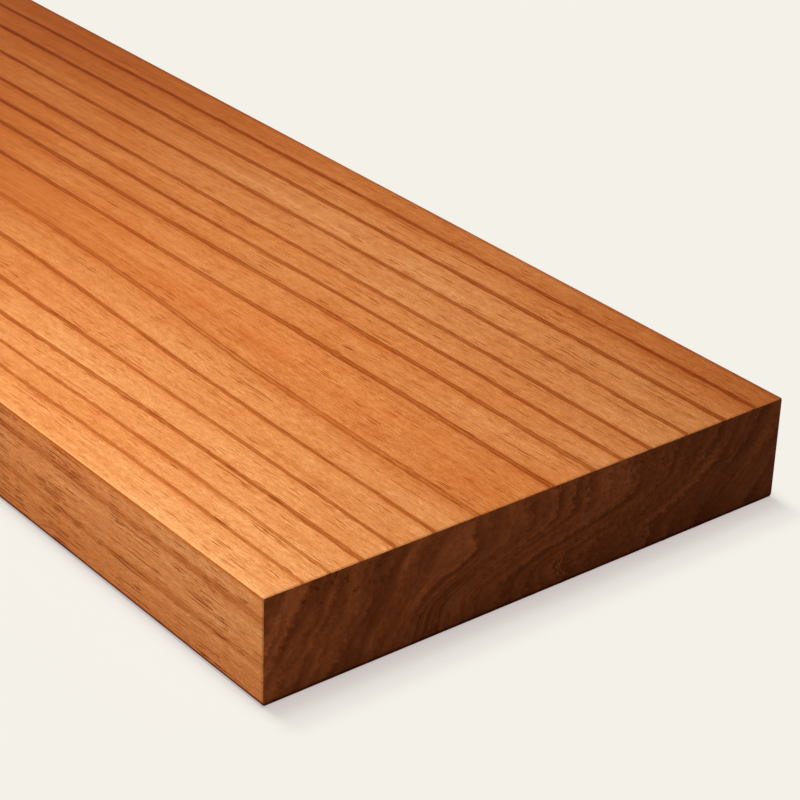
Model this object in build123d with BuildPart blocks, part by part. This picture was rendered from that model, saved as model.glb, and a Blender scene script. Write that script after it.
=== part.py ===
"""A planed hardwood board, lying flat.

Frame: millimetres, +X along the grain, +Y across the width, +Z up.
The origin is the middle of the underside, on the surface that the board lies on.
The board is one sawn piece: a planed section run out to its length, then cut square at both ends.
"""

import os

from build123d import *

# Driving dimensions of the planed board
board_length = 900.0
board_width = 140.0
board_thickness = 25.0

# The planer leaves the two upper arrises almost sharp and the two lower ones a little rounder
upper_arris_radius = 0.5
lower_arris_radius = 1.0

# Width of the flat that takes the sharpness off the saw-cut ends
end_arris_flat = 0.3

with BuildPart() as board:
    # Planed section, seen along the grain, standing on the origin
    with BuildSketch(Plane.YZ.offset(-board_length / 2)) as section:
        Rectangle(board_width, board_thickness, align=(Align.CENTER, Align.MIN))
        fillet(section.vertices().group_by(Axis.Y)[-1], radius=upper_arris_radius)
        fillet(section.vertices().group_by(Axis.Y)[0], radius=lower_arris_radius)

    # The section runs along the grain from one saw cut to the other
    extrude(amount=board_length)

    # Both saw-cut ends lose their sharp edge
    sawn_ends = board.faces().filter_by(Plane.YZ)
    chamfer(sawn_ends.edges(), length=end_arris_flat)

board.part.label = "board"

os.makedirs("parts", exist_ok=True)
export_step(board.part, "parts/board.step")

print("board volume mm3", round(board.part.volume, 1))
print("board box", board.part.bounding_box())
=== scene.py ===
# %% [markdown]
# # A planed hardwood board
# The board is one sawn piece: a plank of orange-brown hardwood, planed on four sides, cut square at both
# ends and oiled. Its solid comes from CAD and is never moved or resized here. This lesson gives it the
# things that only looks can hold: the growth rings that run through the timber, the pores, the raised
# late wood, the eased corners, and the dark end grain.
# Everything is in metres in the CAD frame: +X along the grain, +Y across the width, +Z up, with the
# origin in the middle of the underside. Patterns are worked out in millimetres, as a joiner would.

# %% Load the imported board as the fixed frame
import math

import bmesh
import bpy
from mathutils import Matrix, Vector


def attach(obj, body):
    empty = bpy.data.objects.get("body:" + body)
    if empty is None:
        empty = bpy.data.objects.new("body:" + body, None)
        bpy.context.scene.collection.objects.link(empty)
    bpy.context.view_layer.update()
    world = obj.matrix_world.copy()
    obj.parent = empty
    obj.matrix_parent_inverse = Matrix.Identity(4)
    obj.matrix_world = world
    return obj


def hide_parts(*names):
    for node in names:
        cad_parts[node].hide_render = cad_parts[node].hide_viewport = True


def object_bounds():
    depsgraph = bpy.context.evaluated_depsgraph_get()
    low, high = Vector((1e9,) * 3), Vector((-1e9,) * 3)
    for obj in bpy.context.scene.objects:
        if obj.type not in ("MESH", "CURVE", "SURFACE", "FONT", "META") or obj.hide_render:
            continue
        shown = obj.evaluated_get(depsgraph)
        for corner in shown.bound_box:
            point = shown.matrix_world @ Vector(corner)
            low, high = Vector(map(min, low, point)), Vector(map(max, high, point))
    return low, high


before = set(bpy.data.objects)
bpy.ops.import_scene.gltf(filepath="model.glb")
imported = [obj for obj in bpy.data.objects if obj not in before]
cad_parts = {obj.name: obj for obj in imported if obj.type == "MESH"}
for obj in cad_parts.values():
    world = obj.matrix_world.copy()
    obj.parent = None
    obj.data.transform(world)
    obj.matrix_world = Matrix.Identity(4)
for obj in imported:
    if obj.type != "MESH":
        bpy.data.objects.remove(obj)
cad_low, cad_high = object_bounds()

MM = 0.001
length, width, thickness = ((high - low) / MM for low, high in zip(cad_low, cad_high))
print(f"board in the frame: {length:.1f} x {width:.1f} x {thickness:.1f} mm")

# %% [markdown]
# Every tree in this lesson is wired in code. One small function adds a node, gives it its settings,
# feeds its inputs and hands back an output, so that a line of code reads like a line of algebra.
# Colours are written as sRGB hex, the way a colour picker shows them, and turned to the linear light
# values that a shader needs.

# %% Two small helpers: a node and a colour
MATH = "ShaderNodeMath"
VECTOR_MATH = "ShaderNodeVectorMath"
RANGE = "ShaderNodeMapRange"
CURVE = "ShaderNodeFloatCurve"
NOISE = "ShaderNodeTexNoise"
CELLS = "ShaderNodeTexVoronoi"


def wire(tree, kind, inputs, out=0, points=(), handles="VECTOR", **settings):
    """Add one node, set it up, feed its inputs by number or name, and give back one of its outputs."""
    made = tree.nodes.new(kind)
    for name, value in settings.items():
        setattr(made, name, value)
    named = inputs.items() if isinstance(inputs, dict) else enumerate(inputs)
    for key, value in named:
        if isinstance(value, bpy.types.NodeSocket):
            tree.links.new(value, made.inputs[key])
        else:
            made.inputs[key].default_value = value
    if points:
        made.mapping.use_clip = False
        drawn = made.mapping.curves[0].points
        while len(drawn) < len(points):
            drawn.new(0, 0)
        for dot, place in zip(drawn, points):
            dot.location = place
            dot.handle_type = handles
        made.mapping.update()
    return made.outputs[out]


def paint(hex_colour):
    """An sRGB hex colour as the linear RGBA that a shader works in."""
    parts = (int(hex_colour[i:i + 2], 16) / 255 for i in (1, 3, 5))
    return [*(c / 12.92 if c <= 0.04045 else ((c + 0.055) / 1.055) ** 2.4 for c in parts), 1.0]


# %% [markdown]
# ## Camera
# The photograph looks down on the near corner from about 28 degrees, from far enough away that the
# edges hardly converge, so the lens is a long one. The camera is placed by where it aims and how far
# back it stands along that line, which is easier to read and to change than a bare matrix. The frame is
# square.

# %% Camera at the photograph's viewing angle
aim_behind_end = 0.04735
aim_off_middle = 0.0006
aim = Vector((cad_high.x - aim_behind_end, aim_off_middle, cad_high.z))
camera_azimuth = math.radians(50.58)
camera_elevation = math.radians(27.98)
camera_distance = 0.5531
camera_roll = math.radians(2.01)
camera_lens_mm = 115.18

back = Vector((
    math.sin(camera_azimuth) * math.cos(camera_elevation),
    -math.cos(camera_azimuth) * math.cos(camera_elevation),
    math.sin(camera_elevation),
))
camera = bpy.data.objects.new("camera", bpy.data.cameras.new("camera"))
camera.data.lens = camera_lens_mm
camera.data.clip_start = 0.01
camera.matrix_world = (
    Matrix.Translation(aim + back * camera_distance)
    @ (-back).to_track_quat("-Z", "Y").to_matrix().to_4x4()
    @ Matrix.Rotation(camera_roll, 4, "Z")
)
bpy.context.scene.collection.objects.link(camera)
bpy.context.scene.camera = camera
bpy.context.scene.view_settings.view_transform = "Standard"
print("camera at", [round(v, 4) for v in camera.matrix_world.translation])

# %% [markdown]
# ## Floor and background
# The board lies on a pale sheet with no horizon. The world shows the sheet's colour to the camera and to
# mirror-like rays, and gives a weak, even light to all others. The sheet itself works like a light table,
# as used for product photographs: a good half of its brightness is its own glow, and the rest is lamp
# light that the board can block. That keeps the ground clean and the shadow faint. Light that bounces
# off the sheet towards the board is set apart, and is kept low so that the sawn end stays deep and dark.

# %% Pale background
sheet_hex = "#F4F1E9"
sheet_colour = paint(sheet_hex)
bounce_colour = paint("#6F6E6C")
ambient_strength = 0.15
reflecting = 0.15
shadow_share = Vector((0.42, 0.47, 0.44))
white = Vector((1.0, 1.0, 1.0))
glow_share = white - shadow_share - white * ambient_strength * reflecting


def seen_directly(tree):
    """1 for rays that carry the picture, also off a gloss or through glass; 0 for light that bounces."""
    ray = wire(tree, "ShaderNodeLightPath", {}).node.outputs
    seen = wire(tree, MATH, [ray["Is Camera Ray"], ray["Is Glossy Ray"]], operation="MAXIMUM")
    return wire(tree, MATH, [seen, ray["Is Transmission Ray"]], operation="MAXIMUM")


world = bpy.data.worlds.new("pale_studio")
bpy.context.scene.world = world
world.use_nodes = True
sky = world.node_tree
sky.nodes.clear()
ambient = wire(sky, "ShaderNodeBackground", [(1.0, 1.0, 1.0, 1.0), ambient_strength])
backdrop = wire(sky, "ShaderNodeBackground", [sheet_colour, 1.0])
shown = wire(sky, "ShaderNodeMixShader", [seen_directly(sky), ambient, backdrop])
wire(sky, "ShaderNodeOutputWorld", [shown], out=slice(0))

# %% [markdown]
# The floor is one large square. It is part of the stage, not of the board, and it answers the camera and
# the lamps apart, as said above.

# %% The floor as a lit sheet
floor_half = 3.0
floor_mesh = bpy.data.meshes.new("floor")
corners = [(x, y, 0.0) for x, y in ((-1, -1), (1, -1), (1, 1), (-1, 1))]
floor_mesh.from_pydata([Vector(c) * floor_half for c in corners], [], [(0, 1, 2, 3)])
floor = bpy.data.objects.new("floor", floor_mesh)
bpy.context.scene.collection.objects.link(floor)

floor_sheet = bpy.data.materials.new("pale_paper_sheet")
floor_sheet.use_nodes = True
paper = floor_sheet.node_tree
paper.nodes.clear()
lamp_lit = [part * reflecting for part in sheet_colour[:3]] + [1.0]
own_glow = [part * share for part, share in zip(sheet_colour, glow_share)] + [1.0]
shown = wire(paper, "ShaderNodeAddShader", [
    wire(paper, "ShaderNodeBsdfDiffuse", {"Color": lamp_lit}),
    wire(paper, "ShaderNodeEmission", {"Color": own_glow, "Strength": 1.0}),
])
bounced = wire(paper, "ShaderNodeBsdfDiffuse", {"Color": bounce_colour})
matt = wire(paper, "ShaderNodeMixShader", [seen_directly(paper), bounced, shown])
wire(paper, "ShaderNodeOutputMaterial", [matt], out=slice(0))
floor_mesh.materials.append(floor_sheet)
print("floor and background:", sheet_hex)

# %% [markdown]
# ## Light
# One softbox hangs close to the board, up and to the left. It is near enough that the left edge of the
# top gets more light than the right edge, it looks down steeply enough that the left side is darker than
# the top, and it stays behind the line of the near end, so that end lies in its own shade. A second one
# lights the far part of the board, for the other views.
# The floor has lamps of its own. Distant lamps light it perfectly evenly, so that glow and lamp light add
# up to its colour as written. Three of them, leaning back from behind the board by different amounts,
# throw the short soft shadow in front of the end.

# %% Softboxes for the board and distant lamps for the floor
def hang(name, kind, place, target, power, **shape):
    """A lamp at a place, aimed at a point, all in metres."""
    lamp = bpy.data.lights.new(name, kind)
    lamp.energy = power
    for setting, value in shape.items():
        setattr(lamp, setting, value)
    holder = bpy.data.objects.new(name, lamp)
    aimed = (Vector(target) - Vector(place)).to_track_quat("-Z", "Y").to_matrix().to_4x4()
    holder.matrix_world = Matrix.Translation(place) @ aimed
    bpy.context.scene.collection.objects.link(holder)
    return holder


floor_apart = bpy.data.collections.new("all_but_floor")
floor_apart.objects.link(floor)
floor_apart.collection_objects[0].light_linking.link_state = "EXCLUDE"
for name, place, target, size, watts in (
    ("key_softbox", (0.36, -0.18, 0.29), (0.345, -0.02, 0.0), 0.19, 0.96),
    ("far_softbox", (-0.25, -0.15, 0.42), (-0.25, 0.0, 0.0), 0.30, 1.60),
):
    lamp = hang(name, "AREA", place, target, watts, shape="SQUARE", size=size)
    lamp.light_linking.receiver_collection = floor_apart

floor_only = bpy.data.collections.new("floor_only")
floor_only.objects.link(floor)
near_end = Vector((length / 2 * MM, 0.0, 0.0))
lamp_distance = 2.0
for slope, spread, part in ((68, 11, 0.27), (78, 11, 0.28), (88, 22, 0.45)):
    rise = math.radians(slope)
    place = near_end + Vector((-math.cos(rise), 0.0, math.sin(rise))) * lamp_distance
    power = math.pi * part / math.sin(rise) / reflecting
    lamp = hang(f"shadow_lamp_{slope}", "SUN", place, near_end, power,
                angle=math.radians(spread), color=shadow_share)
    lamp.light_linking.receiver_collection = floor_only

# %% [markdown]
# ## How the timber grew
# The dark lines are the late wood of each year's growth. They are not drawn on the faces: they run
# through the whole plank, so a line on the top has its like on the underside, and others come out on the
# sides. One law gives that. It turns a place in the board into its growth, in millimetres, counted so
# that along the near upper edge growth is just the distance from the left corner. Lines lean as they go
# down, drift where the tree's trunk tapered, and waver: gently at first, and more in the far part.

# %% The growth law: from a place in the board to its growth in mm
lean = 0.6
ring_drift = [(0, -0.3), (15, -0.5), (24, -0.8), (33, 1.0), (45, 3.8), (58, 5.1), (65, 2.2), (72, -0.6),
              (84, -1.1), (100, -0.5), (122, 0.1), (140, 0.4)]
drift_start, drift_full = 50.0, 175.0
turn_start, turn_slope = 60.0, 0.0065
slow_wave = {"along": 260, "across": 70, "sway": 7.0, "first": 260, "full": 560}
quick_wave = {"along": 38, "across": 22, "sway": 0.7, "first": -60, "full": 40}


def growth_at(tree, place):
    """Wire the growth law for a place in mm; works in a geometry tree and in a shader tree alike."""
    x, y, z = wire(tree, "ShaderNodeSeparateXYZ", [place]).node.outputs
    along = wire(tree, MATH, [length / 2, x], operation="SUBTRACT")
    across = wire(tree, MATH, [y, width / 2], operation="ADD")
    depth = wire(tree, MATH, [thickness, z], operation="SUBTRACT")
    drift = wire(tree, CURVE, {"Value": across}, points=ring_drift, handles="AUTO")
    drifted = wire(tree, RANGE, [along, drift_start, drift_full, 0.0, -1.0], interpolation_type="SMOOTHSTEP")
    growth = wire(tree, MATH, [drift, drifted, across], operation="MULTIPLY_ADD")
    turned = wire(tree, RANGE, [along, turn_start, length, 0.0, turn_slope * (length - turn_start)])
    growth = wire(tree, MATH, [growth, turned], operation="ADD")
    growth = wire(tree, MATH, [depth, lean, growth], operation="MULTIPLY_ADD")
    for wave in (slow_wave, quick_wave):
        scale = (1 / wave["along"], 1 / wave["across"], 1 / wave["across"])
        stretched = wire(tree, VECTOR_MATH, [place, scale], operation="MULTIPLY")
        noise = wire(tree, NOISE, {"Vector": stretched, "Scale": 1.0, "Detail": 1.0})
        swing = wire(tree, MATH, [noise, 0.5], operation="SUBTRACT")
        reach = wire(tree, RANGE, [along, wave["first"], wave["full"], 0.0, wave["sway"]],
                     interpolation_type="SMOOTHSTEP")
        growth = wire(tree, MATH, [swing, reach, growth], operation="MULTIPLY_ADD")
    return growth


# %% [markdown]
# The years were not alike, so the lines are not evenly spaced. The list gives each line's place along
# the near upper edge, read to the nearest quarter millimetre, how dark that year's late wood is, and how
# broad it is in millimetres. Lines past the edges are there too: they come out on the sides and the
# underside. A curve turns a growth into the nearest line's number, and more curves turn the number into
# that line's place, darkness and breadth.

# %% The year lines
year_lines = [
    (-6.0, 0.6, 1.0), (3.25, 0.6, 0.95), (9.5, 0.52, 0.9), (15.75, 0.6, 0.95), (23.75, 0.8, 1.15),
    (32.0, 0.72, 1.05), (41.75, 0.74, 1.05), (52.75, 0.56, 1.7), (72.75, 0.8, 1.5), (84.25, 0.8, 1.4),
    (92.25, 0.85, 1.2), (100.25, 0.83, 1.2), (111.0, 0.85, 1.2), (122.0, 0.98, 1.3), (131.5, 0.85, 1.2),
    (142.0, 0.9, 1.1), (150.5, 0.8, 1.1), (160.0, 0.9, 1.2), (171.0, 0.8, 1.1), (180.0, 0.8, 1.1),
]


def nearest_line(tree, growth):
    """How far a place lies past the nearest year line, in breadths of that line; its darkness and breadth."""
    numbers = [(place, number) for number, (place, _, _) in enumerate(year_lines)]
    count = wire(tree, CURVE, {"Value": growth}, points=numbers)
    number = wire(tree, MATH, [count], operation="ROUND")
    place, shade, broad = (
        wire(tree, CURVE, {"Value": number}, points=list(enumerate(column))) for column in zip(*year_lines))
    past = wire(tree, MATH, [growth, place], operation="SUBTRACT")
    past = wire(tree, MATH, [past, broad], operation="DIVIDE")
    return past, shade, broad


line_begins = (-0.72, -0.38)
line_ends = (0.34, 0.62)


def late_wood(tree, past, shade):
    """The late wood of one year: a dark stripe about one breadth wide, a little crisper where it ends."""
    before = wire(tree, RANGE, [past, *line_begins, 0.0, 1.0], interpolation_type="SMOOTHSTEP")
    after = wire(tree, RANGE, [past, *line_ends, 1.0, 0.0], interpolation_type="SMOOTHSTEP")
    both = wire(tree, MATH, [before, after], operation="MULTIPLY")
    return wire(tree, MATH, [both, shade], operation="MULTIPLY")


print("year lines on the top:", sum(0 < line[0] < width for line in year_lines))

# %% [markdown]
# ## The board's skin
# A planed board is not dead flat. The planer leaves the soft early wood a hair below the hard late wood,
# and the four long corners are eased by hand with paper, a little unevenly. The skin follows a rule:
# one section, swept along the grain. So it is a Geometry Nodes tree. The section's columns stand close
# together over each year line and slide sideways as the line wanders, so the mesh has its points where
# the relief is, and few elsewhere.
# First the section is drawn as a loop of points. Each knows its place, which way is inward, how much
# growth it should ride on, and how free it is to slide: not at all near the corners.

# %% The section: a loop of points around the board
upper_radius, lower_radius = 0.5, 1.0
corner_parts = 5
steps_about_a_line = (-1.4, -0.9, -0.5, -0.2, 0.2, 0.5, 0.9, 1.4)
edge_step, edge_count = 0.6, 13
widest_gap, fill_step, narrowest_gap = 3.0, 2.5, 0.15
still_margin, slide_fade = 4, 8


def columns(start, stop, lines):
    """Column places in mm from start to stop: close over each line and near both ends, wider between."""
    places = {start, stop}
    for line in lines:
        places.update(line + step for step in steps_about_a_line)
    for step in range(1, edge_count + 1):
        places.update((start + edge_step * step, stop - edge_step * step))
    ordered = []
    for place in sorted(p for p in places if start <= p <= stop):
        while ordered and place - ordered[-1] > widest_gap:
            ordered.append(ordered[-1] + fill_step)
        if not ordered or place - ordered[-1] > narrowest_gap:
            ordered.append(place)
    ordered[-1] = stop
    return ordered


section = []


def section_point(y, z, inward, slides=0.0, arris=0.0):
    """Add one point of the section; its growth is that of the near end, where no line has drifted yet."""
    growth = y + width / 2 + lean * (thickness - z)
    section.append({"section_place": (0.0, y, z), "inward": (0.0, *inward), "growth_here": growth,
                    "slides": slides, "arris": arris})


def section_corner(y, z, radius, first_angle):
    """Add a rounded corner about its centre, a quarter turn from the first angle, in degrees."""
    for part in range(1, corner_parts):
        angle = math.radians(first_angle + 90 * part / corner_parts)
        out_y, out_z = math.cos(angle), math.sin(angle)
        section_point(y + radius * out_y, z + radius * out_z, (-out_y, -out_z), arris=1.0)


def freedom(y):
    """How free a column is to slide: not at all near the corners, wholly a little farther in."""
    return min(1.0, max(0.0, (half - still_margin - abs(y)) / slide_fade))


half = width / 2
top_lines = [line[0] - half for line in year_lines]
under_lines = [place - lean * thickness for place in top_lines]
for y in columns(-half + lower_radius, half - lower_radius, under_lines):
    section_point(y, 0.0, (0, 1), slides=freedom(y))
section_corner(half - lower_radius, lower_radius, lower_radius, -90)
for z in columns(lower_radius, thickness - upper_radius, []):
    section_point(half, z, (-1, 0))
section_corner(half - upper_radius, thickness - upper_radius, upper_radius, 0)
for y in reversed(columns(-half + upper_radius, half - upper_radius, top_lines)):
    section_point(y, thickness, (0, -1), slides=freedom(y))
section_corner(-half + upper_radius, thickness - upper_radius, upper_radius, 90)
for z in reversed(columns(lower_radius, thickness - upper_radius, [])):
    section_point(-half, z, (1, 0))
section_corner(-half + lower_radius, lower_radius, lower_radius, 180)

# %% [markdown]
# The points become a mesh with edges only. What each point knows goes along as named attributes, which
# the tree reads later.

# %% The section as a mesh with attributes
loop_mesh = bpy.data.meshes.new("board_section")
loop_mesh.from_pydata(
    [Vector(point["section_place"]) * MM for point in section],
    [(i, (i + 1) % len(section)) for i in range(len(section))],
    [],
)
for name, kind in (("section_place", "FLOAT_VECTOR"), ("inward", "FLOAT_VECTOR"), ("growth_here", "FLOAT"),
                   ("slides", "FLOAT"), ("arris", "FLOAT")):
    layer = loop_mesh.attributes.new(name, kind, "POINT")
    for item, point in zip(layer.data, section):
        if kind == "FLOAT":
            item.value = point[name]
        else:
            item.vector = point[name]
print("section points:", len(section))

# %% [markdown]
# The tree sweeps that loop along a straight rail of stations. It slides the columns onto their lines in
# a few passes, because the growth under a column changes as the column moves. Last, it sinks the early
# wood, wears the long corners, and marks only the true edges as sharp. Its sizes are named inputs.

# %% The tree and its inputs
skin_tree = bpy.data.node_groups.new("planed_board_skin", "GeometryNodeTree")
skin_tree.is_modifier = True
for name, kind, in_out in (
    ("Section", "Geometry", "INPUT"), ("Stations", "Int", "INPUT"), ("End Flat", "Float", "INPUT"),
    ("Relief", "Float", "INPUT"), ("Wear", "Float", "INPUT"), ("Finish", "Material", "INPUT"),
    ("Skin", "Geometry", "OUTPUT"),
):
    skin_tree.interface.new_socket(name, in_out=in_out, socket_type="NodeSocket" + kind)
given = wire(skin_tree, "NodeGroupInput", {}).node.outputs


def held(name, kind="FLOAT"):
    """Read one of the section's own attributes inside the tree."""
    return wire(skin_tree, "GeometryNodeInputNamedAttribute", {"Name": name}, out="Attribute", data_type=kind)


# %% [markdown]
# The stations are evenly spaced along the board, but the first and the last step are only as long as the
# flat round the sawn end. At those two the section is drawn in by that same flat.

# %% Stations along the rail, and the sweep
rail = wire(skin_tree, "GeometryNodeCurvePrimitiveLine",
            {"Start": (-length / 2 * MM, 0, 0), "End": (length / 2 * MM, 0, 0)})
rail = wire(skin_tree, "GeometryNodeResampleCurve", {"Curve": rail, "Count": given["Stations"]})
index = wire(skin_tree, "GeometryNodeInputIndex", {})
last = wire(skin_tree, MATH, [given["Stations"], 1.0], operation="SUBTRACT")
before_last = wire(skin_tree, MATH, [given["Stations"], 2.0], operation="SUBTRACT")
inner_half = wire(skin_tree, MATH, [length / 2, given["End Flat"]], operation="SUBTRACT")
outer_low = wire(skin_tree, MATH, [given["End Flat"], -1.0], operation="MULTIPLY")
inner_low = wire(skin_tree, MATH, [inner_half, -1.0], operation="MULTIPLY")
station = wire(skin_tree, RANGE, [index, 1.0, before_last, inner_low, inner_half])
first_step = wire(skin_tree, RANGE, [index, 0.0, 1.0, outer_low, 0.0])
last_step = wire(skin_tree, RANGE, [index, before_last, last, 0.0, given["End Flat"]])
station = wire(skin_tree, MATH, [station, first_step], operation="ADD")
station = wire(skin_tree, MATH, [station, last_step], operation="ADD")
rail = wire(skin_tree, "GeometryNodeStoreNamedAttribute",
            {"Geometry": rail, "Name": "station", "Value": station}, data_type="FLOAT", domain="POINT")

loop = wire(skin_tree, "GeometryNodeMeshToCurve", {"Mesh": given["Section"]})
skin = wire(skin_tree, "GeometryNodeCurveToMesh", {"Curve": rail, "Profile Curve": loop, "Fill Caps": True})

at_end = wire(skin_tree, MATH, [held("station")], operation="ABSOLUTE")
at_end = wire(skin_tree, MATH, [at_end, length / 2 - 0.01], operation="GREATER_THAN")
end_step = wire(skin_tree, MATH, [at_end, given["End Flat"]], operation="MULTIPLY")
inset = wire(skin_tree, VECTOR_MATH, {0: held("inward", "FLOAT_VECTOR"), "Scale": end_step},
             operation="SCALE")
along_rail = wire(skin_tree, "ShaderNodeCombineXYZ", [held("station"), 0.0, 0.0])
place = wire(skin_tree, VECTOR_MATH, [held("section_place", "FLOAT_VECTOR"), along_rail], operation="ADD")
place = wire(skin_tree, VECTOR_MATH, [place, inset], operation="ADD")
place = wire(skin_tree, VECTOR_MATH, {0: place, "Scale": MM}, operation="SCALE")
skin = wire(skin_tree, "GeometryNodeSetPosition", {"Geometry": skin, "Position": place})

# %% [markdown]
# Now the swept points move. Each pass takes a column most of the way to the growth that it should ride
# on, and six passes bring it there. Then the early wood sinks and the long corners wear.

# %% Slide the columns, sink the early wood, wear the corners
slide_passes, slide_share = 6, 0.7
wear_along, wear_across = 22, 6
sharp_angle = math.radians(28)

here = wire(skin_tree, "GeometryNodeInputPosition", {})
here_mm = wire(skin_tree, VECTOR_MATH, {0: here, "Scale": 1 / MM}, operation="SCALE")
growth = growth_at(skin_tree, here_mm)
missing = wire(skin_tree, MATH, [held("growth_here"), growth], operation="SUBTRACT")
shift = wire(skin_tree, MATH, [missing, held("slides")], operation="MULTIPLY")
shift = wire(skin_tree, MATH, [shift, slide_share * MM], operation="MULTIPLY")
sideways = wire(skin_tree, "ShaderNodeCombineXYZ", [0.0, shift, 0.0])
for _ in range(slide_passes):
    skin = wire(skin_tree, "GeometryNodeSetPosition", {"Geometry": skin, "Offset": sideways})

past, shade, _ = nearest_line(skin_tree, growth)
hollow = wire(skin_tree, MATH, [1.0, late_wood(skin_tree, past, shade)], operation="SUBTRACT")
hollow = wire(skin_tree, MATH, [hollow, given["Relief"]], operation="MULTIPLY")
wear_and_painted_highlight = wire(skin_tree, VECTOR_MATH, [here_mm, (1 / wear_along, 1 / wear_across, 1 / wear_across)],
              operation="MULTIPLY")
wear_and_painted_highlight = wire(skin_tree, NOISE, {"Vector": wear_and_painted_highlight, "Scale": 1.0, "Detail": 2.0})
worn = wire(skin_tree, MATH, [wear_and_painted_highlight, held("arris")], operation="MULTIPLY")
worn = wire(skin_tree, MATH, [worn, given["Wear"]], operation="MULTIPLY")
sunk = wire(skin_tree, MATH, [hollow, worn], operation="ADD")
off_end = wire(skin_tree, MATH, [1.0, at_end], operation="SUBTRACT")
sunk = wire(skin_tree, MATH, [sunk, off_end], operation="MULTIPLY")
sunk = wire(skin_tree, MATH, [sunk, MM], operation="MULTIPLY")
sinking = wire(skin_tree, VECTOR_MATH, {0: held("inward", "FLOAT_VECTOR"), "Scale": sunk}, operation="SCALE")
skin = wire(skin_tree, "GeometryNodeSetPosition", {"Geometry": skin, "Offset": sinking})

skin = wire(skin_tree, "GeometryNodeSetShadeSmooth", {0: skin, "Shade Smooth": True})
bend = wire(skin_tree, "GeometryNodeInputMeshEdgeAngle", {})
true_edge = wire(skin_tree, "FunctionNodeCompare", [bend, sharp_angle], operation="GREATER_THAN")
skin = wire(skin_tree, "GeometryNodeSetShadeSmooth", {0: skin, "Selection": true_edge, "Shade Smooth": False},
            domain="EDGE")
skin = wire(skin_tree, "GeometryNodeRealizeInstances", {"Geometry": skin})
skin = wire(skin_tree, "GeometryNodeSetMaterial", {"Geometry": skin, "Material": given["Finish"]})
wire(skin_tree, "NodeGroupOutput", {"Skin": skin}, out=slice(0))
print("nodes in the skin tree:", len(skin_tree.nodes))

# %% [markdown]
# ## The wood
# Oiled hardwood, planed on the long faces and sawn across the end. Oil wets the fibres, so the colour is
# deep and warm and the sheen is low and soft. On the long faces the eye reads, from large to small: a
# golden left side that turns redder to the right, the year lines, fine fibre streaks, and short dark
# dashes where a pore has been cut open lengthwise. All of it is worked out in millimetres inside the
# solid, with the same growth law as the skin.

# %% The material and its helpers
wood = bpy.data.materials.new("oiled_planed_hardwood")
wood.use_nodes = True
grain = wood.node_tree
grain.nodes.clear()


def streaks(coordinate, along_mm, across_mm, detail=2.0, rough=0.6, seed=0.0):
    """Noise drawn out along the grain: its length and width in mm."""
    drawn = wire(grain, VECTOR_MATH, [coordinate, (1 / along_mm, 1 / across_mm, 1 / across_mm)],
                 operation="MULTIPLY")
    drawn = wire(grain, VECTOR_MATH, [drawn, (seed, seed, seed)], operation="ADD")
    return wire(grain, NOISE, {"Vector": drawn, "Scale": 1.0, "Detail": detail, "Roughness": rough})


def blend(factor, first, second):
    """Mix two colours by a factor from 0 to 1."""
    return wire(grain, "ShaderNodeMix", {0: factor, 6: first, 7: second}, out=2, data_type="RGBA")


def times(first, second):
    """Multiply two values."""
    return wire(grain, MATH, [first, second], operation="MULTIPLY")


def ramp(value, low, high, first, last):
    """Turn a value between low and high into one between first and last, evenly, and hold it outside."""
    return wire(grain, RANGE, [value, low, high, first, last])


def sum_of(parts):
    """Add any number of values."""
    total = parts[0]
    for part in parts[1:]:
        total = wire(grain, MATH, [total, part], operation="ADD")
    return total


# %% [markdown]
# First come the coordinates: the place in millimetres, its growth, and copies of the place that follow
# the growth, straight or wavering, for patterns drawn out along the grain. Then the year lines. They are
# fainter on the sides, and so is the first one beside the left corner. The broad ones have a lighter
# middle, and each line has a soft skirt before it, where that year's wood darkens slowly.

# %% Coordinates and year lines in the shader
near_x = length / 2
object_place = wire(grain, "ShaderNodeTexCoord", {}, out="Object")
place_mm = wire(grain, VECTOR_MATH, {0: object_place, "Scale": 1 / MM}, operation="SCALE")
x, y, z = wire(grain, "ShaderNodeSeparateXYZ", [place_mm]).node.outputs
growth = growth_at(grain, place_mm)
straight = wire(grain, "ShaderNodeCombineXYZ", [x, growth, z])
from_middle = wire(grain, MATH, [y], operation="ABSOLUTE")
on_side = wire(grain, RANGE, [from_middle, half - 0.5, half - 0.1, 0.0, 1.0])

waver = ramp(streaks(straight, 5.0, 2.0, detail=1.0, seed=14.0), 0.2, 0.8, -0.4, 0.4)
wavy = wire(grain, "ShaderNodeCombineXYZ", [x, sum_of([growth, waver]), z])
slightly_wavy = wire(grain, "ShaderNodeCombineXYZ", [x, sum_of([growth, times(waver, 0.5)]), z])

past, shade, broad = nearest_line(grain, growth)
past = times(past, ramp(on_side, 0.0, 1.0, 1.0, 0.95))
past = times(past, ramp(streaks(straight, 30.0, 6.0, detail=1.0, seed=3.1), 0.3, 0.7, 1.15, 0.88))
past = sum_of([past, times(waver, 0.3)])
strands = streaks(straight, 34.0, 0.3, detail=2.0, seed=9.0)
shade = times(shade, ramp(strands, 0.34, 0.6, 0.68, 1.12))
top_strength = ramp(growth, 4.5, 7.0, 0.15, 1.0)
side_strength = 0.6
strength = wire(grain, "ShaderNodeMix", {0: on_side, 2: top_strength, 3: side_strength}, data_type="FLOAT")
shade = times(shade, strength)
line = late_wood(grain, past, shade)
middle_gap = ramp(wire(grain, MATH, [past], operation="ABSOLUTE"), 0.06, 0.2, 1.0, 0.0)
gap_depth = ramp(broad, 1.0, 1.6, 0.0, 0.7)
line = times(line, wire(grain, MATH, [1.0, times(middle_gap, gap_depth)], operation="SUBTRACT"))
skirt = wire(grain, RANGE, [past, -2.4, -0.4, 0.0, 1.0], interpolation_type="SMOOTHSTEP")
skirt_end = wire(grain, RANGE, [past, 0.2, 1.2, 1.0, 0.0], interpolation_type="SMOOTHSTEP")
skirt = times(times(skirt, skirt_end), shade)

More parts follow.
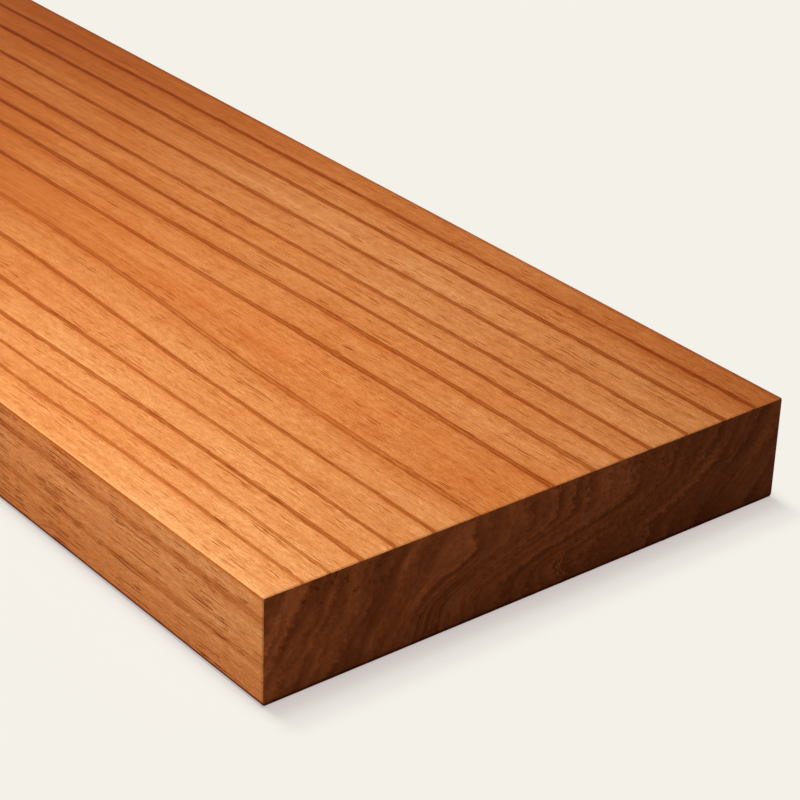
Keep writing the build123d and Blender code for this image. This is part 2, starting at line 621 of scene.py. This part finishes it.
# %% [markdown]
# Between the lines lie streaks of many sizes, each given by its length and width in millimetres: long
# fibres, short hairs, grit, mottling, broad bands and clouds.

# %% Fibres and bands
fibre = streaks(straight, 28.0, 0.75, detail=3.0, rough=0.62, seed=2.2)
hair = streaks(wavy, 2.8, 0.24, detail=2.0, rough=0.65)
grit = streaks(straight, 0.4, 0.28, detail=1.0, seed=6.6)
mottle = streaks(straight, 5.0, 1.7, detail=2.0, seed=27.0)
band = streaks(straight, 190.0, 4.5, detail=2.0, seed=5.7)
cloud = streaks(straight, 60.0, 14.0, detail=2.0, seed=12.3)

# %% [markdown]
# A pore is a long thin vessel, a quarter of a millimetre or so across. Cut lengthwise it shows as a dark
# dash a few millimetres long; cut across, as a dot. So pores are long cells of a Voronoi texture in the
# solid. Only some cells hold a pore, by chance, and more of them do in some patches than in others. Where
# the plane has cut along them they look like dashes, and on the end the very same cells look like dots.
# The side has more of them than the top, and short faint scratches lie between them.

# %% Pores
def pores(long_mm, wide_mm, share, seed):
    """A mask of open pores: stretched cells, of which a share hold a pore."""
    stretched = wire(grain, VECTOR_MATH, [slightly_wavy, (1 / long_mm, 1 / wide_mm, 1 / wide_mm)],
                     operation="MULTIPLY")
    stretched = wire(grain, VECTOR_MATH, [stretched, (seed, seed, seed)], operation="ADD")
    cell = wire(grain, CELLS, {"Vector": stretched, "Scale": 1.0}).node.outputs
    chance = wire(grain, "ShaderNodeSeparateXYZ", [cell["Color"]])
    radius = wire(grain, RANGE, [sum_of([chance, share]), 1.0, 1.25, 0.0, 0.45])
    inner = times(radius, 0.55)
    return wire(grain, RANGE, [cell["Distance"], inner, radius, 1.0, 0.0], interpolation_type="SMOOTHSTEP")


patch = streaks(straight, 20.0, 3.5, seed=21.0)
top_share = sum_of([ramp(patch, 0.35, 0.65, 0.04, 0.44), ramp(y, -20.0, 40.0, 0.0, 0.08)])
more_along_side = ramp(x, near_x - 90, near_x - 50, 0.14, 0.0)
side_share = sum_of([ramp(patch, 0.35, 0.65, 0.14, 0.5), more_along_side])
share = wire(grain, "ShaderNodeMix", {0: on_side, 2: top_share, 3: side_share}, data_type="FLOAT")
fine_pores = pores(7.5, 0.26, times(share, ramp(on_side, 0.0, 1.0, 1.0, 0.8)), 1.7)
long_pores = pores(26.0, 0.28, times(share, ramp(on_side, 0.0, 1.0, 0.7, 1.05)), 8.3)
pore = wire(grain, MATH, [fine_pores, long_pores], operation="MAXIMUM")
scratch = pores(3.4, 0.24, ramp(patch, 0.3, 0.6, 0.2, 0.5), 15.1)

# %% [markdown]
# Now the colours. The left of the board is golden, the middle and right are redder, with one broad red
# band between two years that lie far apart; the redder right edge is partly the wood's tone and partly
# painted shade. The sides and the far part are redder too, and that is painted shade. Towards the far
# part the fine marks fade, as they do in a picture.

# %% Golden and red wood
redness = [(0, 0.1), (12, 0.3), (20, 0.2), (35, 0.35), (50, 0.5), (55, 0.75), (73, 0.78), (78, 0.65),
           (95, 0.55), (105, 0.4), (120, 0.45), (126, 0.65), (150, 0.75)]
far = wire(grain, RANGE, [x, near_x - 310, near_x - 125, 1.0, 0.0], interpolation_type="SMOOTHSTEP")
fine_marks = ramp(x, near_x - 230, near_x - 80, 0.28, 1.0)
red = sum_of([
    wire(grain, CURVE, {"Value": growth}, points=redness, handles="AUTO"),
    ramp(cloud, 0.3, 0.7, -0.25, 0.25),
    ramp(mottle, 0.3, 0.7, -0.1, 0.1),
    # Painted shade: the far part, the part beyond about 90 mm from the near end, and the sides are made
    # redder, as shade makes them look.
    times(far, 0.45),
    ramp(x, near_x - 150, near_x - 90, 0.14, 0.0),
    times(on_side, 0.75),
])
deep_red = blend(on_side, paint("#DD803F"), paint("#DF8346"))
golden_to_red = blend(ramp(red, 0.0, 1.0, 0.0, 1.0), paint("#EA9B5B"), deep_red)

# %% [markdown]
# Everything finer only adds or takes away some of the wood's own dye: fibres, bands, late wood and pores.
# Dye takes light away in equal steps, least from red and most from blue, so where there is more of it the
# wood is not only darker but redder and richer too. The same sums also carry painted light and shade.
# Painted shade darkens the top to the right and into the far part, and painted light brightens it by the
# left edge. A thin dark strip of painted shade lies just under each upper corner, and the lower corners
# are darkened with painted shade.

# %% Dye of the long faces, with painted light and shade
off_corner = ramp(sum_of([from_middle, z]), half + thickness - 1.3, half + thickness - 0.8, 1.0, 0.0)
end_distance = wire(grain, MATH, [x], operation="ABSOLUTE")
# Painted shade: the lower corners are darkened where they turn under towards the floor.
lower_corner_painted_shade = times(ramp(from_middle, half - 1.0, half - 0.6, 0.0, 1.0), ramp(z, 0.6, 1.3, 2.2, 0.0))
corner_foot = ramp(from_middle, half - 0.22, half - 0.12, 0.0, 1.0)
pore_strength = times(ramp(on_side, 0.0, 1.0, 0.65, 1.25), fine_marks)

fine_dye = [
    times(ramp(hair, 0.28, 0.72, -0.15, 0.15), fine_marks),
    times(ramp(grit, 0.3, 0.7, -0.08, 0.08), fine_marks),
    ramp(mottle, 0.3, 0.7, -0.035, 0.035),
    ramp(fibre, 0.28, 0.72, -0.07, 0.07),
    ramp(band, 0.3, 0.7, -0.06, 0.06),
]
# Painted light and shade on the top: darker to the right, most near the near end, and into the far part, with
# a dark fringe along the right edge; lighter by the left edge; and away from the near end, darker on the left
# and lighter on the right.
broad_painted_light_and_shade = [
    times(far, ramp(y, half - 30, half - 5, 0.21, 0.3)),
    times(ramp(y, half - 24, half, 0.0, 1.0), ramp(x, near_x - 70, near_x - 10, 0.06, 0.25)),
    ramp(y, half - 1.8, half - 0.6, 0.0, 0.22),
    ramp(y, -half, -half + 8, -0.08, 0.0),
    times(ramp(y, -half + 10, -half + 35, -0.05, 0.0), ramp(x, near_x - 60, near_x - 20, 0.0, 1.0)),
    times(ramp(y, -half, 30.0, 0.05, -0.04), ramp(x, near_x - 130, near_x - 40, 1.0, 0.0)),
]
# Painted light and shade on the sides: lighter away from the near end, a dark strip just under each upper
# corner and on the lower half of its rounding, and darker towards the bottom.
side_painted_light_and_shade = [
    times(on_side, ramp(x, near_x - 60, near_x - 10, -0.035, 0.0)),
    times(on_side, ramp(z, thickness - 1.3, thickness - 0.5, 0.0, 0.32)),
    times(corner_foot, ramp(z, thickness - 0.6, thickness - 0.3, 0.0, 0.35)),
    times(on_side, ramp(z, 0.0, 11.0, 0.13, 0.0)),
]
growth_dye = [
    times(skirt, 0.10),
    times(line, ramp(far, 0.0, 0.8, 0.6, 0.72)),
    times(times(pore, off_corner), pore_strength),
    times(times(scratch, off_corner), times(fine_marks, 0.24)),
]
# The sum holds the wood's own dye together with the painted light and shade above.
dye_and_painted_light = sum_of(fine_dye + broad_painted_light_and_shade + side_painted_light_and_shade + growth_dye + [lower_corner_painted_shade])


def dyed(colour, amount, strengths=(1.0, 1.8, 2.8)):
    """Take light out of a colour by an amount of dye: least from red, most from blue."""
    kept = [wire(grain, MATH, [math.exp(-strength), amount], operation="POWER") for strength in strengths]
    return wire(grain, VECTOR_MATH, [colour, wire(grain, "ShaderNodeCombineXYZ", kept)], operation="MULTIPLY")


body = dyed(golden_to_red, dye_and_painted_light)

# %% [markdown]
# Along the left upper corner, and faintly along the top edges of the ends, a hair's breadth is painted
# paler: a painted highlight where the rounded corners catch the light.

# %% The painted highlight on the corners
# Painted highlight: the lit left upper corner and the top edges of the ends are blended towards a pale
# colour.
near_corner = wire(grain, MATH, [
    ramp(y, -half + 0.35, -half + 0.55, 1.0, 0.0),
    ramp(end_distance, near_x - 0.35, near_x - 0.25, 0.0, 0.3),
], operation="MAXIMUM")
near_top = ramp(z, thickness - 0.2, thickness - 0.12, 0.0, 1.0)
wear_and_painted_highlight = times(times(near_corner, near_top), ramp(hair, 0.3, 0.7, 0.95, 0.65))
body = blend(wear_and_painted_highlight, body, paint("#F6B972"))

# %% [markdown]
# The sawn end drinks far more oil than the planed faces, so it is a dark red-brown and nearly matt. The
# years show there only as faint streaks. They rise steeply near both sides and lie nearly flat in the
# middle, so each streak is followed back up to the top edge by its own shift, largest in the middle.
# From the middle to the right the saw tore the fibres, so there the streaks are ragged.

# %% Streaks of the sawn ends
sawn = ramp(end_distance, near_x - 0.06, near_x - 0.03, 0.0, 1.0)
sunk_share = wire(grain, RANGE, [z, thickness, 0.0, 0.0, 1.0])
end_across = wire(grain, MATH, [y, half], operation="ADD")
shift_at = wire(grain, MATH, [sunk_share, 14.0, end_across], operation="MULTIPLY_ADD")
end_shift = wire(grain, CURVE, {"Value": shift_at}, handles="AUTO", points=[
    (0, 15), (35, 14), (50, 22), (60, 31), (75, 36), (90, 33), (110, 24), (155, 18)])
steep = wire(grain, RANGE, [sunk_share, 0.3, 0.78, 0.0, 1.0], interpolation_type="SMOOTHSTEP")
middle = wire(grain, RANGE, [end_shift, 15.0, 28.0, 0.0, 1.0], interpolation_type="SMOOTHSTEP")
bent_share = wire(grain, "ShaderNodeMix", {0: middle, 2: sunk_share, 3: steep}, data_type="FLOAT")
ripple_place = wire(grain, VECTOR_MATH, [place_mm, (0.05, 0.05, 0.09)], operation="MULTIPLY")
ripple = wire(grain, NOISE, {"Vector": ripple_place, "Scale": 1.0, "Detail": 2.0})
end_growth = wire(grain, MATH, [end_shift, bent_share, end_across], operation="MULTIPLY_ADD")
end_growth = sum_of([ramp(ripple, 0.2, 0.8, -2.0, 2.0), end_growth])


def end_spots(size_mm, seed):
    """Noise without direction on the end: its size in mm."""
    drawn = wire(grain, "ShaderNodeCombineXYZ", [times(y, 1 / size_mm), times(z, 1 / size_mm), seed])
    return wire(grain, NOISE, {"Vector": drawn, "Scale": 1.0, "Detail": 3.0, "Roughness": 0.65})


end_fleck = end_spots(0.55, 2.0)
pebble = end_spots(1.4, 41.0)
torn = times(ramp(y, -25.0, 20.0, 0.0, 1.0), ramp(y, half - 30, half - 15, 1.0, 0.5))
raggedness = times(ramp(pebble, 0.3, 0.7, -1.8, 1.8), ramp(torn, 0.0, 1.0, 0.4, 1.0))
ragged_growth = sum_of([end_growth, raggedness])


def end_streaks(wide_mm, long_mm, seed, detail=3.0):
    """Noise drawn out along the year streaks of the end: its width and length in mm."""
    across, along = times(ragged_growth, 1 / wide_mm), times(z, 1 / long_mm)
    drawn = wire(grain, "ShaderNodeCombineXYZ", [across, along, seed])
    return wire(grain, NOISE, {"Vector": drawn, "Scale": 1.0, "Detail": detail, "Roughness": 0.6})


# %% [markdown]
# The end's colour comes from the same kind of sum: broad streaks and darker ones to the right, mottling,
# flecks, a few dark knots of torn fibre in the upper left, and the open pores. It darkens to the right,
# and painted shade darkens it down to the lower edge.

# %% Colour of the sawn ends
right_side = ramp(y, half - 45, half - 20, 0.0, 1.0)
upper_part = ramp(z, thickness - 11, thickness - 3, 0.0, 1.0)
upper_left = times(ramp(y, -half + 20, -half + 60, 1.0, 0.0), upper_part)
end_marks = sum_of([
    ramp(end_streaks(3.6, 18.0, 4.4, detail=1.5), 0.32, 0.68, -0.30, 0.30),
    times(ramp(end_streaks(4.5, 40.0, 52.0, detail=1.0), 0.5, 0.64, -0.1, 0.4), right_side),
    ramp(end_streaks(1.4, 2.0, 17.0), 0.3, 0.7, -0.06, 0.06),
    ramp(end_spots(4.5, 8.0), 0.3, 0.7, -0.10, 0.10),
    times(ramp(end_streaks(2.8, 30.0, 71.0, detail=1.0), 0.48, 0.62, -0.08, 0.2), middle),
    times(ramp(pebble, 0.35, 0.65, -0.16, 0.16), ramp(torn, 0.0, 1.0, 0.75, 1.0)),
    ramp(end_fleck, 0.25, 0.75, -0.09, 0.09),
    times(ramp(end_spots(1.8, 31.0), 0.6, 0.68, 0.0, 0.7), ramp(upper_left, 0.0, 1.0, 0.25, 1.0)),
    times(ramp(end_spots(1.0, 61.0), 0.48, 0.62, -0.06, 0.19), torn),
    times(fine_pores, 0.12),
])
# Painted shade: the end darkens towards its lower edge, with a dark line right at it.
painted_shade_low_on_end = sum_of([ramp(z, 0.3, 1.1, 1.6, 0.0), ramp(z, 3.0, 16.0, 0.06, 0.0)])
end_dye_and_painted_shade = sum_of([times(end_marks, ramp(y, -half, half, 1.25, 0.75)), painted_shade_low_on_end])
end_body = blend(wire(grain, RANGE, [y, -half, half, 0.0, 1.0]), paint("#9A4C28"), paint("#75391D"))
end_body = dyed(end_body, end_dye_and_painted_shade, strengths=(1.0, 1.15, 1.3))
colour = blend(sawn, body, end_body)

# %% [markdown]
# Oil leaves a soft sheen: broad, weak and even, a little duller in the pores and duller again on the
# sawn end. The wood's own colour shows through the oil, so the sheen is warm. A very small bump carries
# what is finer than the mesh: the dips of pores, the fibres, and the roughness of the sawn end.

# %% Sheen, bump and the finished material
roughness = wire(grain, RANGE, [pore, 0.0, 1.0, 0.46, 0.7])
roughness = wire(grain, MATH, [roughness, times(sawn, 0.2)], operation="ADD", use_clamp=True)
height = wire(grain, MATH, [pore, -1.0, times(hair, 0.35)], operation="MULTIPLY_ADD")
sawn_rough = sum_of([end_fleck, times(pebble, 2.5)])
height = wire(grain, MATH, [sawn_rough, times(sawn, 0.9), height], operation="MULTIPLY_ADD")
bump_depth = 0.09 * MM
bumped = wire(grain, "ShaderNodeBump", {"Strength": 0.35, "Distance": bump_depth, "Height": height},
              out="Normal")
finish = wire(grain, "ShaderNodeBsdfPrincipled", {
    "Base Color": colour, "Roughness": roughness, "Specular IOR Level": 0.015,
    "Specular Tint": paint("#F3B878"), "Normal": bumped,
})
wire(grain, "ShaderNodeOutputMaterial", [finish], out=slice(0))
print("nodes in the wood:", len(grain.nodes))

# %% [markdown]
# ## The finished board
# The section becomes a skin once, and the result is kept as a plain mesh: closed, facing outward, inside
# the CAD solid's box. It takes the CAD board's place in the picture, and rides with it.

# %% Make the skin and hand it to the frame
maker = bpy.data.objects.new("board_maker", loop_mesh)
bpy.context.scene.collection.objects.link(maker)
modifier = maker.modifiers.new("skin", "NODES")
modifier.node_group = skin_tree
sockets = {item.name: item.identifier for item in skin_tree.interface.items_tree if item.in_out == "INPUT"}
skin_sizes = {"Stations": 152, "End Flat": 0.3, "Relief": 0.06, "Wear": 0.06, "Finish": wood}
for name, value in skin_sizes.items():
    modifier[sockets[name]] = value
skin_mesh = bpy.data.meshes.new_from_object(maker.evaluated_get(bpy.context.evaluated_depsgraph_get()))
skin_mesh.name = "board_skin"
maker.modifiers.remove(modifier)
bpy.data.objects.remove(maker)
for name in ("station", "section_place", "inward", "growth_here", "slides", "arris"):
    if name in skin_mesh.attributes:
        skin_mesh.attributes.remove(skin_mesh.attributes[name])

board = bpy.data.objects.new("board_skin", skin_mesh)
bpy.context.scene.collection.objects.link(board)
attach(board, "root")
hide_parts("board")

shell = bmesh.new()
shell.from_mesh(skin_mesh)
volume = shell.calc_volume(signed=True) / MM ** 3
open_edges = sum(not edge.is_manifold for edge in shell.edges)
shell.free()
triangles = sum(len(face.vertices) - 2 for face in skin_mesh.polygons)
print(f"skin: {triangles} triangles, {volume / 1000:.1f} cm3, {open_edges} open edges")
